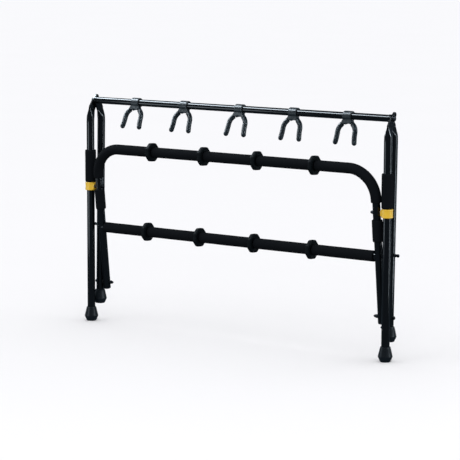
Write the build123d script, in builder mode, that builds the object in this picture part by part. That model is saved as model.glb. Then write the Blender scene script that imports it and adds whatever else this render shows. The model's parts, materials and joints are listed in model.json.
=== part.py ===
from build123d import *
import os
from math import acos, atan2, cos, degrees, hypot, radians, sin

# Folding rack for five guitars, standing folded on its two long front legs.
# Millimetres, +Z up, +X along the rack, -Y is the side that the guitars face.
# The origin is on the floor, under the middle of the folded rack.

# ---- driving dimensions: frame -------------------------------------------------
FRONT_X = 500.0            # front leg centreline from the middle of the rack
FRONT_Y = -5.98            # front leg centreline
HINGE_Z = 638.5            # height of the top hinge and of the top bar
LEG_OFFSET = 20.5          # leg centreline to the hinge axis
BEND_R = 100.0             # bend at the top of each leg
LEG_R = 11.1
LEG_WALL = 1.5
REAR_INSET = 7.5           # rear legs stand this much further in
REAR_LEAN = 1.05           # degrees; folded rear legs lean in towards the front legs
REAR_LENGTH = 590.0        # hinge to the underside of the rear foot
TAB_T = 4.5                # flattened leg end at the hinge bolt
TAB_HALF = 12.5            # half-width of the tab where the tube is first flat
TAPER_START = 24.0         # degrees of bend where the tab begins to narrow
FLAT_START = 9.0           # degrees of bend where the tube begins to flatten
FLAT_END = 21.0            # degrees of bend where it is flat
HINGE_HALF = 9.5           # half-width of the tab at the hinge bolt
FRONT_TIP_REACH = 12.5     # the front legs end in a pointed tip beyond the bolt
FRONT_TIP_R = 7.0
REAR_TIP_R = 10.5          # the rear legs end in a round tab about the bolt

BAR_R = 9.5
BAR_WALL = 1.5
HINGE_BOLT_R = 4.0
RUNNING = 0.05             # radial clearance of a pin that turns in a hole
FACE_GAP = 0.3             # between faces that move past each other

# ---- driving dimensions: rest frame ----------------------------------------------
REST_X = 468.0             # rest frame leg centreline
REST_R = 10.5
REST_WALL = 1.5
TAIL_Z = 112.0             # height of the pivots between rest frame and rear legs
COLLAR_Z = 392.5           # height of the pivots between rest frame and collars
REST_TOP = 395.5           # tail pivot to the padded top rail, along the frame
REST_CROSS = 163.5         # tail pivot to the padded cross rail
REST_TAIL = 16.5           # tube left below the tail pivot
TAIL_PLUG = 9.0            # depth of the end caps in the tube
CORNER_R = 80.0
PIVOT_BOLT_R = 3.0

# ---- driving dimensions: padding and small parts -----------------------------------
FOAM_R = 14.7
CROSS_FOAM_R = 15.0
FOAM_END = 309.0           # where the corner foam stops, measured from the tail pivot
FIT = 0.05                 # between parts of one body that are slid together
SEAM = 0.2                 # between foam lengths and dividers
DIVIDER_FLATS = 51.5
DIVIDER_T = 11.0
DIVIDER_BACK = 3.0         # degrees that the dividers are turned back from upright
DIVIDER_CORNER = 4.0
TOP_DIVIDERS = (-266.0, -86.0, 93.0, 280.0)
CROSS_DIVIDERS = (-302.0, -119.0, 66.0, 257.0)
FRONT_SLEEVE = (405.0, 497.0)
SLEEVE_R = 16.0
REST_SLEEVE_LEFT = (217.0, 275.0)
REST_SLEEVE_RIGHT = (204.0, 262.5)
COLLAR_R = 15.5
COLLAR_H = 23.0
COLLAR_BORE = 0.1          # the collar slides on the leg
STUD_Z = 90.0
CATCH_Z = 278.0

FOOT_H = 40.0
FOOT_SOLE = 6.0

# ---- driving dimensions: yokes -----------------------------------------------------
YOKE_X = (-346.5, -175.0, 13.5, 191.5, 365.0)
YOKE_LEANS = (22.5, 20.0, 21.0, 17.0, 15.5)    # degrees forward of hanging straight down
YOKE_ARM_R = 6.7
YOKE_ROD_R = 3.0
YOKE_BEND = 27.0           # radius of the U, on its centreline
YOKE_DROP = 17.0           # bar centre to the top of the U
YOKE_REACH = 71.5          # bar centre to the round ends of the arms
YOKE_TIP_X = 29.5
SADDLE_R = 13.3
SADDLE_W = 25.0
SKIRT_T = 14.4             # thickness of the skirt that holds the bend of the rod
LINER_R = 11.0
LINER_W = 27.0
SLOT = 6.0                 # snap slot along the back of the saddle

# ---- worked out from the driving dimensions ----------------------------------------
HINGE_Y = FRONT_Y + LEG_OFFSET
REAR_X = FRONT_X - REAR_INSET
LEG_BEND = degrees(acos(1 - LEG_OFFSET / BEND_R))
lean = radians(REAR_LEAN)
TAIL_DROP = (HINGE_Z - TAIL_Z - LEG_OFFSET * sin(lean)) / cos(lean)
CATCH_DROP = (HINGE_Z - CATCH_Z - LEG_OFFSET * sin(lean)) / cos(lean)
TAIL_Y = HINGE_Y + LEG_OFFSET * cos(lean) - TAIL_DROP * sin(lean)
REST_TILT = degrees(atan2(TAIL_Y - FRONT_Y, COLLAR_Z - TAIL_Z))
COLLAR_S = hypot(TAIL_Y - FRONT_Y, COLLAR_Z - TAIL_Z)
BAR_END = REAR_X - TAB_T / 2 - FACE_GAP

SIDES = {"left": -1, "right": 1}
tilt = radians(REST_TILT)
rest_plane = Plane(origin=(0, TAIL_Y, TAIL_Z), x_dir=(1, 0, 0), z_dir=(0, -cos(tilt), -sin(tilt)))

os.makedirs("parts", exist_ok=True)


def save(builder, name):
    """Label a finished piece and write it under its own name."""
    builder.part.label = name
    export_step(builder.part, f"parts/{name}.step")


# ---- legs ----------------------------------------------------------------------------
# Each leg is drawn in an upright plane through its own centreline, with the hinge axis at
# (0, 0), the straight tube at u = LEG_OFFSET and v pointing up.


def front_plane(side):
    return Plane(origin=(side * FRONT_X, HINGE_Y, HINGE_Z), x_dir=(0, -1, 0), z_dir=(-1, 0, 0))


def rear_plane(side):
    across = (0, cos(lean), -sin(lean))
    return Plane(origin=(side * REAR_X, HINGE_Y, HINGE_Z), x_dir=across, z_dir=(1, 0, 0))


def bend_point(angle):
    """A point on the bent centreline, this many degrees round the bend."""
    u = LEG_OFFSET - BEND_R * (1 - cos(radians(angle)))
    v = BEND_R * (sin(radians(angle)) - sin(radians(LEG_BEND)))
    return u, v


def section_plane(plane, angle):
    """Plane square to the leg's centreline, x across the bend and y along the hinge axis."""
    u, v = bend_point(angle)
    origin = plane.from_local_coords(Vector(u, v, 0))
    across = plane.x_dir * cos(radians(angle)) + plane.y_dir * sin(radians(angle))
    along = plane.y_dir * cos(radians(angle)) - plane.x_dir * sin(radians(angle))
    return Plane(origin=origin, x_dir=across, z_dir=along)


def tab_edge(angle, half_width):
    """Both edges of the flat tab at this angle of the bend."""
    u, v = bend_point(angle)
    du = half_width * cos(radians(angle))
    dv = half_width * sin(radians(angle))
    return (u - du, v - dv), (u + du, v + dv)


def tab_outline(tip_reach, tip_r):
    """Corners of the tab, up its inner edge and down its outer one."""
    tip_angle = LEG_BEND + degrees(tip_reach / BEND_R)
    stations = [(FLAT_END, TAB_HALF), (TAPER_START, TAB_HALF), (LEG_BEND, max(HINGE_HALF, tip_r))]
    if tip_reach > 0:
        stations = stations[:2] + [(LEG_BEND, HINGE_HALF), (tip_angle, tip_r)]
    edges = [tab_edge(angle, half) for angle, half in stations]
    return [inner for inner, outer in edges] + [outer for inner, outer in reversed(edges)], tip_angle


def leg(plane, tube_length, tip_reach, tip_r):
    """Bent tube, flattened at the top into a tab with the hinge hole."""
    start = bend_point(0)
    with BuildPart() as built:
        with BuildLine(plane) as path:
            straight = Line((LEG_OFFSET, -tube_length), start)
            JernArc(start=straight @ 1, tangent=straight % 1, radius=BEND_R, arc_size=FLAT_START)
        foot_end = Plane(origin=path.line @ 0, x_dir=plane.x_dir, z_dir=plane.y_dir)
        with BuildSketch(foot_end):
            Circle(LEG_R)
            Circle(LEG_R - LEG_WALL, mode=Mode.SUBTRACT)
        sweep()
        with BuildSketch(section_plane(plane, FLAT_START)):
            RectangleRounded(2 * LEG_R, 2 * LEG_R, LEG_R - 0.2)
        with BuildSketch(section_plane(plane, FLAT_END)):
            RectangleRounded(2 * TAB_HALF, TAB_T, TAB_T / 2 - 0.2)
        loft()
        corners, tip_angle = tab_outline(tip_reach, tip_r)
        with BuildSketch(plane):
            Polygon(*corners, align=None)
            with Locations(bend_point(tip_angle)):
                Circle(tip_r)
        extrude(amount=TAB_T / 2, both=True)
        with BuildSketch(plane):
            Circle(HINGE_BOLT_R + RUNNING)
        extrude(amount=TAB_T, both=True, mode=Mode.SUBTRACT)
    return built


def leg_hole(plane, height_on_leg, radius):
    """Cross hole through both walls of the straight part of a leg."""
    with BuildSketch(plane) as hole:
        with Locations((LEG_OFFSET, -height_on_leg)):
            Circle(radius)
    extrude(hole.sketch, amount=2 * LEG_R, both=True, mode=Mode.SUBTRACT)


for name, side in SIDES.items():
    plane = front_plane(side)
    with BuildPart() as front_leg:
        add(leg(plane, HINGE_Z - FOOT_SOLE, FRONT_TIP_REACH, FRONT_TIP_R).part)
        with BuildSketch(Plane.YZ.offset(side * (FRONT_X - LEG_R - 4))):
            with Locations((FRONT_Y, STUD_Z)):
                Circle(2.0)
        extrude(amount=side * 8.0, mode=Mode.SUBTRACT)
    save(front_leg, f"front_leg_{name}")

    plane = rear_plane(side)
    with BuildPart() as rear_leg:
        add(leg(plane, REAR_LENGTH - FOOT_SOLE, 0, REAR_TIP_R).part)
        leg_hole(plane, TAIL_DROP, PIVOT_BOLT_R + FIT)
        leg_hole(plane, CATCH_DROP, PIVOT_BOLT_R + FIT)
    save(rear_leg, f"rear_leg_{name}")


# ---- rubber feet -----------------------------------------------------------------------


def foot(plane):
    """Crutch tip: a fluted cone that widens to a rim and narrows again to the sole."""
    with BuildPart() as built:
        with BuildSketch(Plane(origin=plane.origin, x_dir=plane.x_dir, z_dir=-plane.y_dir)):
            with BuildLine():
                Polyline((0, 0), (12.5, 0), (14.0, 1.2), (19.4, 13.0), (19.4, 15.0), (13.9, FOOT_H - 2))
                Line((13.9, FOOT_H - 2), (13.3, FOOT_H))
                Polyline((13.3, FOOT_H), (LEG_R + FIT, FOOT_H), (LEG_R + FIT, FOOT_SOLE))
                Polyline((LEG_R + FIT, FOOT_SOLE), (0, FOOT_SOLE), (0, 0))
            make_face()
        revolve(axis=Axis(plane.origin, plane.z_dir))
        # flutes down the cone, and one ring of tread in the sole
        for step in range(12):
            turned = plane.rotated((0, 0, 30 * step))
            with BuildSketch(Plane(origin=turned.origin, x_dir=turned.x_dir, z_dir=-turned.y_dir)):
                Polygon((18.4, 17.0), (13.5, 35.5), (16.5, 35.5), (21.0, 17.0), align=None)
            extrude(amount=0.9, both=True, mode=Mode.SUBTRACT)
        with BuildSketch(plane):
            Circle(8.5)
            Circle(6.0, mode=Mode.SUBTRACT)
        extrude(amount=1.5, mode=Mode.SUBTRACT)
    return built


for name, side in SIDES.items():
    front_foot = foot(Plane(origin=(side * FRONT_X, FRONT_Y, 0), x_dir=(1, 0, 0), z_dir=(0, 0, 1)))
    save(front_foot, f"front_foot_{name}")
    leg_plane = rear_plane(side)
    sole = leg_plane.from_local_coords(Vector(LEG_OFFSET, -REAR_LENGTH, 0))
    rear_foot = foot(Plane(origin=sole, x_dir=(1, 0, 0), z_dir=leg_plane.y_dir))
    save(rear_foot, f"rear_foot_{name}")


# ---- top bar and its hinge bolts -----------------------------------------------------------


def ring(start_x, length, outer, inner, y, z):
    """A plain ring or tube along X."""
    with BuildSketch(Plane.YZ.offset(start_x)) as section:
        with Locations((y, z)):
            Circle(outer)
            Circle(inner, mode=Mode.SUBTRACT)
    extrude(section.sketch, amount=length)


def turned_x(y, z, profile):
    """Solid of revolution about a line along X; the profile is (x, radius) points from the axis."""
    with BuildSketch(Plane(origin=(0, y, z), x_dir=(1, 0, 0), z_dir=(0, -1, 0))) as outline:
        with BuildLine():
            Polyline(*profile, close=True)
        make_face()
    revolve(outline.sketch, axis=Axis((0, y, z), (1, 0, 0)))


def domed_bolt(side, y, z, face_x, tip_x, head_r, head_h, shank_r):
    """Round-headed bolt lying along X, its head outside face_x and its tip at tip_x."""
    profile = [(side * tip_x, 0), (side * tip_x, shank_r)]
    profile += [(side * face_x, shank_r), (side * face_x, head_r)]
    for angle in (25, 50, 72):
        across = head_r * cos(radians(angle))
        out = face_x + head_h * (0.3 + 0.7 * sin(radians(angle)))
        profile.append((side * out, across))
    profile.append((side * (face_x + head_h), 0))
    turned_x(y, z, profile)


HEAD_SEAT = 1.3            # a bolt head is hollowed this deep to sit on a round tube


def tube_round_bolt(side, y, z, tube_x, tube_r, along):
    """A length of solid tube with the bolt's shank left out, to hollow the bolt's head with."""
    start = Vector(side * tube_x, y, z) - along * 20
    with BuildPart() as tube:
        with BuildSketch(Plane(origin=start, x_dir=(1, 0, 0), z_dir=along)):
            Circle(tube_r + FIT)
        extrude(amount=40)
        with BuildSketch(Plane.YZ.offset(side * tube_x)):
            with Locations((y, z)):
                Circle(PIVOT_BOLT_R + 0.01)
        extrude(amount=2 * tube_r, both=True, mode=Mode.SUBTRACT)
    return tube.part


with BuildPart() as top_bar:
    ring(-BAR_END, 2 * BAR_END, BAR_R, BAR_R - BAR_WALL, HINGE_Y, HINGE_Z)
save(top_bar, "top_bar")

INSERT_L = 30.0
with BuildPart() as bar_inserts:
    for side in SIDES.values():
        start = BAR_END - INSERT_L if side > 0 else -BAR_END
        ring(start, INSERT_L, BAR_R - BAR_WALL - FIT, HINGE_BOLT_R + FIT, HINGE_Y, HINGE_Z)
save(bar_inserts, "bar_end_inserts")

WASHER_T = 1.2
WASHER_R = 9.0
tab_face = FRONT_X + TAB_T / 2
with BuildPart() as hinge_washers:
    for side in SIDES.values():
        outer_start = tab_face if side > 0 else -tab_face - WASHER_T
        ring(outer_start, WASHER_T, WASHER_R, HINGE_BOLT_R + FIT, HINGE_Y, HINGE_Z)
        inner_face = REAR_X + TAB_T / 2 + FACE_GAP
        inner_t = REAR_INSET - TAB_T - 2 * FACE_GAP
        inner_start = inner_face if side > 0 else -inner_face - inner_t
        ring(inner_start, inner_t, WASHER_R, HINGE_BOLT_R + FIT, HINGE_Y, HINGE_Z)
save(hinge_washers, "hinge_washers")

with BuildPart() as hinge_bolts:
    for side in SIDES.values():
        domed_bolt(side, HINGE_Y, HINGE_Z, tab_face + WASHER_T, BAR_END - 24, 8.0, 5.0, HINGE_BOLT_R)
save(hinge_bolts, "hinge_bolts")

# ---- parts on the front legs ---------------------------------------------------------------

for name, side in SIDES.items():
    low, high = FRONT_SLEEVE
    with BuildPart() as sleeve:
        with BuildSketch(Plane.XY.offset(low)):
            with Locations((side * FRONT_X, FRONT_Y)):
                Circle(SLEEVE_R)
                Circle(LEG_R + FIT, mode=Mode.SUBTRACT)
        extrude(amount=high - low)
        outer_edges = sleeve.edges().filter_by(GeomType.CIRCLE).filter_by(lambda e: e.radius > LEG_R + 1)
        fillet(outer_edges, radius=1.8)
    save(sleeve, f"front_sleeve_{name}")

    LUG_FACE = REST_X + FOAM_R + 0.5
    with BuildPart() as collar:
        with BuildSketch(Plane.XY.offset(COLLAR_Z - COLLAR_H / 2)):
            with Locations((side * FRONT_X, FRONT_Y)):
                Circle(COLLAR_R)
        extrude(amount=COLLAR_H)
        rims = collar.edges().filter_by(GeomType.CIRCLE)
        fillet(rims, radius=1.6)
        with BuildSketch(Plane.YZ.offset(side * LUG_FACE)):
            with Locations((FRONT_Y, COLLAR_Z)):
                RectangleRounded(15, 17, 4)
        extrude(amount=side * 8)
        with BuildSketch(Plane.XY.offset(COLLAR_Z - COLLAR_H)):
            with Locations((side * FRONT_X, FRONT_Y)):
                Circle(LEG_R + COLLAR_BORE)
        extrude(amount=2 * COLLAR_H, mode=Mode.SUBTRACT)
        # shallow waist between the two rims, where the hand grips
        with BuildSketch(Plane.XY.offset(COLLAR_Z - 7.5)):
            with Locations((side * FRONT_X, FRONT_Y)):
                Circle(COLLAR_R + 3)
                Circle(COLLAR_R - 0.5, mode=Mode.SUBTRACT)
                with Locations((-side * COLLAR_R, 0)):
                    Rectangle(12, 17, mode=Mode.SUBTRACT)
        extrude(amount=15, mode=Mode.SUBTRACT)
    save(collar, f"slide_collar_{name}")

with BuildPart() as studs:
    for side in SIDES.values():
        wall = FRONT_X - LEG_R
        profile = [(side * (wall + 3), 0), (side * (wall + 3), 1.9), (side * (wall - 0.2), 1.9)]
        profile += [(side * (wall - 0.2), 3.2), (side * (wall - 2.2), 3.2), (side * (wall - 3.4), 2.4)]
        profile += [(side * (wall - 4.1), 1.2), (side * (wall - 4.3), 0)]
        turned_x(FRONT_Y, STUD_Z, profile)
save(studs, "collar_stop_studs")

# ---- rest frame ------------------------------------------------------------------------------
# Drawn in its own leaning plane: x along the rack, y from the tail pivots towards the top rail.


def rest_point(x, s):
    return rest_plane.from_local_coords(Vector(x, s, 0))


def rest_cross_hole(s, radius):
    """Hole along X through both legs of the rest frame."""
    centre = rest_point(0, s)
    with BuildSketch(Plane.YZ) as hole:
        with Locations((centre.Y, centre.Z)):
            Circle(radius)
    extrude(hole.sketch, amount=REST_X + 2 * REST_R, both=True, mode=Mode.SUBTRACT)


with BuildPart() as rest_frame:
    with BuildLine(rest_plane) as rest_path:
        corners = [(-REST_X, -REST_TAIL), (-REST_X, REST_TOP), (REST_X, REST_TOP), (REST_X, -REST_TAIL)]
        FilletPolyline(*corners, radius=CORNER_R)
    with BuildSketch(Plane(origin=rest_path.line @ 0, z_dir=rest_path.line % 0)):
        Circle(REST_R)
        Circle(REST_R - REST_WALL, mode=Mode.SUBTRACT)
    sweep()
    rest_cross_hole(0, PIVOT_BOLT_R + RUNNING)
    rest_cross_hole(COLLAR_S, PIVOT_BOLT_R + FIT)
    rest_cross_hole(REST_CROSS, PIVOT_BOLT_R + FIT)
save(rest_frame, "rest_frame_tube")

cross = rest_point(0, REST_CROSS)
CROSS_END = REST_X - REST_R
with BuildPart() as cross_rail:
    ring(-REST_X, 2 * REST_X, REST_R, REST_R - REST_WALL, cross.Y, cross.Z)
    for side in SIDES.values():
        upright = rest_point(side * REST_X, 0)
        with BuildSketch(Plane(origin=upright, x_dir=(1, 0, 0), z_dir=rest_plane.y_dir)):
            Circle(REST_R + FIT)
        extrude(amount=2 * REST_CROSS, mode=Mode.SUBTRACT)
save(cross_rail, "cross_rail_tube")

CROSS_PLUG_L = 26.0
with BuildPart() as cross_plugs:
    for side in SIDES.values():
        start = CROSS_END - CROSS_PLUG_L if side > 0 else -CROSS_END + 4
        ring(start, CROSS_PLUG_L - 4, REST_R - REST_WALL - FIT, PIVOT_BOLT_R + FIT, cross.Y, cross.Z)
save(cross_plugs, "cross_rail_plugs")

cross_along = rest_plane.y_dir
cross_seats = [tube_round_bolt(side, cross.Y, cross.Z, REST_X, REST_R, cross_along) for side in (-1, 1)]
cross_face = REST_X + REST_R - HEAD_SEAT
with BuildPart() as cross_bolts:
    for side in SIDES.values():
        domed_bolt(side, cross.Y, cross.Z, cross_face, CROSS_END - 22, 5.5, 5.2, PIVOT_BOLT_R)
    add(cross_seats, mode=Mode.SUBTRACT)
save(cross_bolts, "cross_rail_bolts")

with BuildPart() as tail_caps:
    for side in SIDES.values():
        end = Plane(origin=rest_point(side * REST_X, -REST_TAIL), x_dir=(1, 0, 0), z_dir=rest_plane.y_dir)
        with BuildSketch(Plane(origin=end.origin, x_dir=end.x_dir, z_dir=-end.y_dir)):
            with BuildLine():
                Polyline((0, TAIL_PLUG), (8.9, TAIL_PLUG), (8.9, 0), (REST_R, 0), (REST_R, -1.2))
                Polyline((REST_R, -1.2), (REST_R - 1.2, -2.6), (REST_R - 3.6, -3.6), (4.0, -4.1), (0, -4.2))
                Line((0, -4.2), (0, TAIL_PLUG))
            make_face()
        revolve(axis=Axis(end.origin, end.z_dir))
save(tail_caps, "tail_end_caps")

# tail pivots: the bolt is tight in the rear leg and the rest frame turns on it
TAIL_SPACER_T = REAR_X - LEG_R - REST_X - REST_R - FACE_GAP
with BuildPart() as tail_spacers:
    for side in SIDES.values():
        face = REST_X + REST_R - 0.3
        start = face if side > 0 else -face - TAIL_SPACER_T
        ring(start, TAIL_SPACER_T, 6.5, PIVOT_BOLT_R + RUNNING, TAIL_Y, TAIL_Z)
    with BuildSketch(rest_plane):
        with Locations((-REST_X, 0), (REST_X, 0)):
            Rectangle(2 * REST_R, 60)
    extrude(amount=2 * REST_R, both=True, mode=Mode.SUBTRACT)
save(tail_spacers, "tail_spacers")

tail_along = rear_plane(1).y_dir
tail_seats = [tube_round_bolt(side, TAIL_Y, TAIL_Z, REAR_X, LEG_R, tail_along) for side in (-1, 1)]
tail_face = REAR_X + LEG_R - HEAD_SEAT
with BuildPart() as tail_bolts:
    for side in SIDES.values():
        domed_bolt(side, TAIL_Y, TAIL_Z, tail_face, REST_X - REST_R - 6, 5.5, 7.0, PIVOT_BOLT_R)
    add(tail_seats, mode=Mode.SUBTRACT)
save(tail_bolts, "tail_pivot_bolts")


def acorn_nut(side, y, z, face_x, length, radius):
    """Acorn nut on a bolt along X, pointing to the middle of the rack."""
    hex_end = face_x - length * 0.45
    with BuildSketch(Plane.YZ.offset(side * face_x)) as flats:
        with Locations((y, z)):
            RegularPolygon(radius, 6)
    extrude(flats.sketch, amount=-side * length * 0.45)
    dome_r = radius * 0.82
    profile = [(side * (hex_end + 0.5), 0), (side * (hex_end + 0.5), dome_r), (side * hex_end, dome_r)]
    for angle in (30, 60, 78):
        out = hex_end - length * 0.55 * sin(radians(angle))
        profile.append((side * out, dome_r * cos(radians(angle))))
    profile.append((side * (face_x - length), 0))
    turned_x(y, z, profile)


def bolt_bore(side, y, z, face_x, depth, radius):
    """Blind hole from the open end of a nut."""
    with BuildSketch(Plane.YZ.offset(side * face_x)) as bore:
        with Locations((y, z)):
            Circle(radius)
    extrude(bore.sketch, amount=-side * depth, mode=Mode.SUBTRACT)


with BuildPart() as tail_nuts:
    for side in SIDES.values():
        face = REST_X - REST_R - FACE_GAP
        acorn_nut(side, TAIL_Y, TAIL_Z, face, 14.0, 5.4)
        bolt_bore(side, TAIL_Y, TAIL_Z, face, 6.0, PIVOT_BOLT_R + FIT)
save(tail_nuts, "tail_acorn_nuts")

# collar pivots: a bolt and a spacer on the rest frame face the lug of each collar
pivot = rest_point(0, COLLAR_S)
PIVOT_FACE = LUG_FACE - 0.4
with BuildPart() as collar_spacers:
    for side in SIDES.values():
        face = REST_X + REST_R - 0.6
        start = face if side > 0 else -PIVOT_FACE
        ring(start, PIVOT_FACE - face, 6.0, PIVOT_BOLT_R + FIT, pivot.Y, pivot.Z)
    with BuildSketch(rest_plane):
        with Locations((-REST_X, COLLAR_S), (REST_X, COLLAR_S)):
            Rectangle(2 * REST_R, 60)
    extrude(amount=2 * REST_R, both=True, mode=Mode.SUBTRACT)
save(collar_spacers, "collar_pivot_spacers")

with BuildPart() as collar_bolts:
    for side in SIDES.values():
        start = REST_X - REST_R - 5 if side > 0 else -PIVOT_FACE
        with BuildSketch(Plane.YZ.offset(start)):
            with Locations((pivot.Y, pivot.Z)):
                Circle(PIVOT_BOLT_R)
        extrude(amount=PIVOT_FACE - (REST_X - REST_R - 5))
save(collar_bolts, "collar_pivot_bolts")

with BuildPart() as collar_nuts:
    for side in SIDES.values():
        face = REST_X - REST_R - 0.1
        acorn_nut(side, pivot.Y, pivot.Z, face, 8.5, 5.0)
        bolt_bore(side, pivot.Y, pivot.Z, face, 5.2, PIVOT_BOLT_R + FIT)
save(collar_nuts, "collar_pivot_nuts")

# ---- storage catch on each rear leg: a thumb screw and the rubber buffer it holds -------------
catch = rear_plane(1).from_local_coords(Vector(LEG_OFFSET, -CATCH_DROP, 0))
with BuildPart() as catch_screws:
    for side in SIDES.values():
        head = REAR_X + LEG_R
        profile = [(side * (REAR_X - LEG_R - 9), 0), (side * (REAR_X - LEG_R - 9), PIVOT_BOLT_R)]
        profile += [(side * head, PIVOT_BOLT_R), (side * head, 4.6), (side * (head + 3), 4.6)]
        profile += [(side * (head + 4), 3.4), (side * (head + 7), 3.4), (side * (head + 8), 4.4)]
        profile += [(side * (head + 12), 4.4), (side * (head + 13.5), 2.6), (side * (head + 13.8), 0)]
        turned_x(catch.Y, catch.Z, profile)
save(catch_screws, "catch_thumb_screws")

with BuildPart() as buffers:
    for side in SIDES.values():
        base = REAR_X - LEG_R + 1.2
        profile = [(side * base, 3.1), (side * base, 8.0), (side * (base - 9), 8.0)]
        profile += [(side * (base - 11), 6.5), (side * (base - 11), 3.1)]
        turned_x(catch.Y, catch.Z, profile)
    for side in SIDES.values():
        leg_plane = rear_plane(side)
        start = leg_plane.from_local_coords(Vector(LEG_OFFSET, -REAR_LENGTH, 0))
        with BuildSketch(Plane(origin=start, x_dir=(1, 0, 0), z_dir=leg_plane.y_dir)):
            Circle(LEG_R + FIT)
        extrude(amount=REAR_LENGTH - 100, mode=Mode.SUBTRACT)
save(buffers, "catch_buffers")

# ---- foam and dividers on the rest frame --------------------------------------------------------


def foam_round_corner(side, from_s, to_x):
    """Foam tube up one leg of the rest frame, round the corner and along the top rail."""
    with BuildPart() as built:
        with BuildLine(rest_plane) as path:
            corners = [(side * REST_X, from_s), (side * REST_X, REST_TOP), (to_x, REST_TOP)]
            FilletPolyline(*corners, radius=CORNER_R)
        with BuildSketch(Plane(origin=path.line @ 0, z_dir=path.line % 0)):
            Circle(FOAM_R)
            Circle(REST_R + FIT, mode=Mode.SUBTRACT)
        sweep()
    return built


half_gap = DIVIDER_T / 2 + SEAM
save(foam_round_corner(-1, FOAM_END, TOP_DIVIDERS[0] - half_gap), "top_foam_left")
save(foam_round_corner(1, FOAM_END, TOP_DIVIDERS[-1] + half_gap), "top_foam_right")

top = rest_point(0, REST_TOP)
with BuildPart() as top_foam:
    for start, end in zip(TOP_DIVIDERS, TOP_DIVIDERS[1:]):
        ring(start + half_gap, end - start - 2 * half_gap, FOAM_R, REST_R + FIT, top.Y, top.Z)
save(top_foam, "top_foam_middle")

CROSS_FOAM_END = CROSS_END - 2.0
with BuildPart() as cross_foam:
    starts = (-CROSS_FOAM_END - half_gap,) + CROSS_DIVIDERS
    ends = CROSS_DIVIDERS + (CROSS_FOAM_END + half_gap,)
    for start, end in zip(starts, ends):
        ring(start + half_gap, end - start - 2 * half_gap, CROSS_FOAM_R, REST_R + FIT, cross.Y, cross.Z)
save(cross_foam, "cross_foam")


def dividers(centre, places):
    """Octagonal plates with rounded corners, threaded on a rail."""
    back = radians(DIVIDER_BACK)
    turned = Plane(origin=centre, x_dir=(0, sin(back), cos(back)), z_dir=(1, 0, 0))
    with BuildPart() as built:
        for x in places:
            with BuildSketch(turned.offset(x - DIVIDER_T / 2)):
                RegularPolygon(DIVIDER_FLATS / 2, 8, major_radius=False, rotation=22.5)
                fillet(vertices(), radius=DIVIDER_CORNER)
                Circle(REST_R + FIT, mode=Mode.SUBTRACT)
            extrude(amount=DIVIDER_T)
        rims = built.edges().filter_by(GeomType.LINE).filter_by(Axis.X, reverse=True)
        fillet(rims, radius=1.2)
    return built


save(dividers(top, TOP_DIVIDERS), "top_dividers")
save(dividers(cross, CROSS_DIVIDERS), "cross_dividers")

for name, (low, high) in {"left": REST_SLEEVE_LEFT, "right": REST_SLEEVE_RIGHT}.items():
    with BuildPart() as rest_sleeve:
        start = rest_point(SIDES[name] * REST_X, low)
        with BuildSketch(Plane(origin=start, x_dir=(1, 0, 0), z_dir=rest_plane.y_dir)):
            Circle(FOAM_R)
            Circle(REST_R + FIT, mode=Mode.SUBTRACT)
        extrude(amount=high - low)
    save(rest_sleeve, f"rest_sleeve_{name}")

# ---- yokes ----------------------------------------------------------------------------------------
# Each yoke is drawn in a leaning plane: x along the rack, y from the bar down the arms.
ARC_Y = YOKE_DROP + YOKE_BEND


def yoke_plane(x, yoke_lean):
    across = (0, cos(radians(yoke_lean)), -sin(radians(yoke_lean)))
    return Plane(origin=(x, HINGE_Y, HINGE_Z), x_dir=(1, 0, 0), z_dir=across)


def arm_line(side, from_angle):
    """Centreline of one arm, from this angle round the U down to the tip."""
    first = (side * YOKE_BEND * sin(radians(from_angle)), ARC_Y - YOKE_BEND * cos(radians(from_angle)))
    middle_angle = radians((from_angle + 90) / 2)
    middle = (side * YOKE_BEND * sin(middle_angle), ARC_Y - YOKE_BEND * cos(middle_angle))
    arc = ThreePointArc(first, middle, (side * YOKE_BEND, ARC_Y))
    run = YOKE_REACH - ARC_Y
    TangentArc((side * YOKE_BEND, ARC_Y), (side * YOKE_TIP_X, ARC_Y + run), tangent=arc % 1)


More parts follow.
